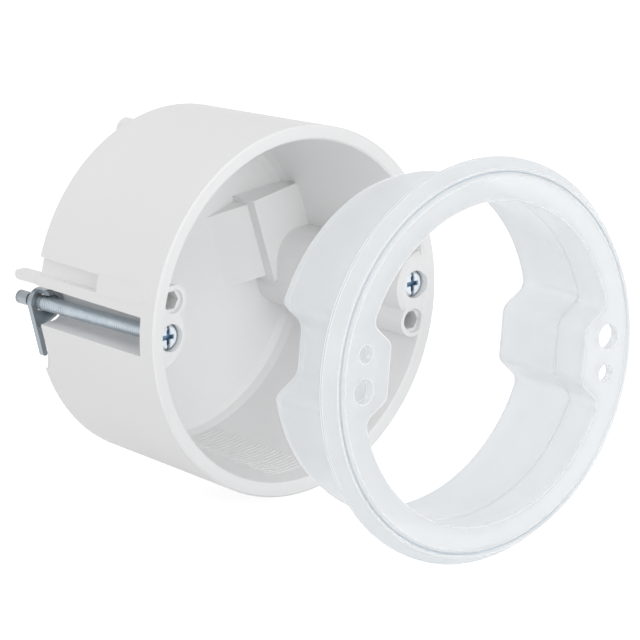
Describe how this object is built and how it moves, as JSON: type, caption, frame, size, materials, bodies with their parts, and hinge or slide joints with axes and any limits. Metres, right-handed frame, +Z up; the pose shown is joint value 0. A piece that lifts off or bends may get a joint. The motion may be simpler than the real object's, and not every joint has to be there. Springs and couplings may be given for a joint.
{
  "type": "switch box",
  "caption": "Round white flush box for a hollow wall, with swinging claws on long screws and a clear flanged extension ring shown taken off in front.",
  "frame": {"origin": "centre of the circle of the rim's front face, which is also midway between the two device screw holes", "axes": "the mouth of the box looks along -Y, +X is to the right seen from the front, +Z is up"},
  "size_m": [0.0745, 0.0939, 0.0744],
  "materials": {
    "box_white": "white, lightly matt moulding",
    "screw_steel": "zinc plated",
    "claw_steel": "zinc plated",
    "ring_clear": "clear, polished"
  },
  "bodies": {
    "box": {"box_body": "box_white"},
    "screw_left": {"claw_screw_left": "screw_steel"},
    "screw_right": {"claw_screw_right": "screw_steel"},
    "claw_left": {"claw_left": "claw_steel"},
    "claw_right": {"claw_right": "claw_steel"},
    "ring": {"extension_ring": "ring_clear"}
  },
  "joints": [
    {"name": "screw_left_turn", "type": "hinge", "parent": "box", "child": "screw_left", "pos_m": [-0.0298, 0, 0], "axis": [0, 1, 0], "continuous": true},
    {"name": "screw_right_turn", "type": "hinge", "parent": "box", "child": "screw_right", "pos_m": [0.0298, 0, 0], "axis": [0, 1, 0], "continuous": true},
    {"name": "claw_left_swing", "type": "hinge", "parent": "box", "child": "claw_left", "pos_m": [-0.0298, 0.036, 0], "axis": [0, 1, 0], "range_deg": [0, 125]},
    {"name": "claw_right_swing", "type": "hinge", "parent": "box", "child": "claw_right", "pos_m": [0.0298, 0.036, 0], "axis": [0, 1, 0], "range_deg": [0, 125]},
    {"name": "ring_slide", "type": "slide", "parent": "box", "child": "ring", "axis": [0, 1, 0], "range_m": [0, 0.0289]}
  ]
}
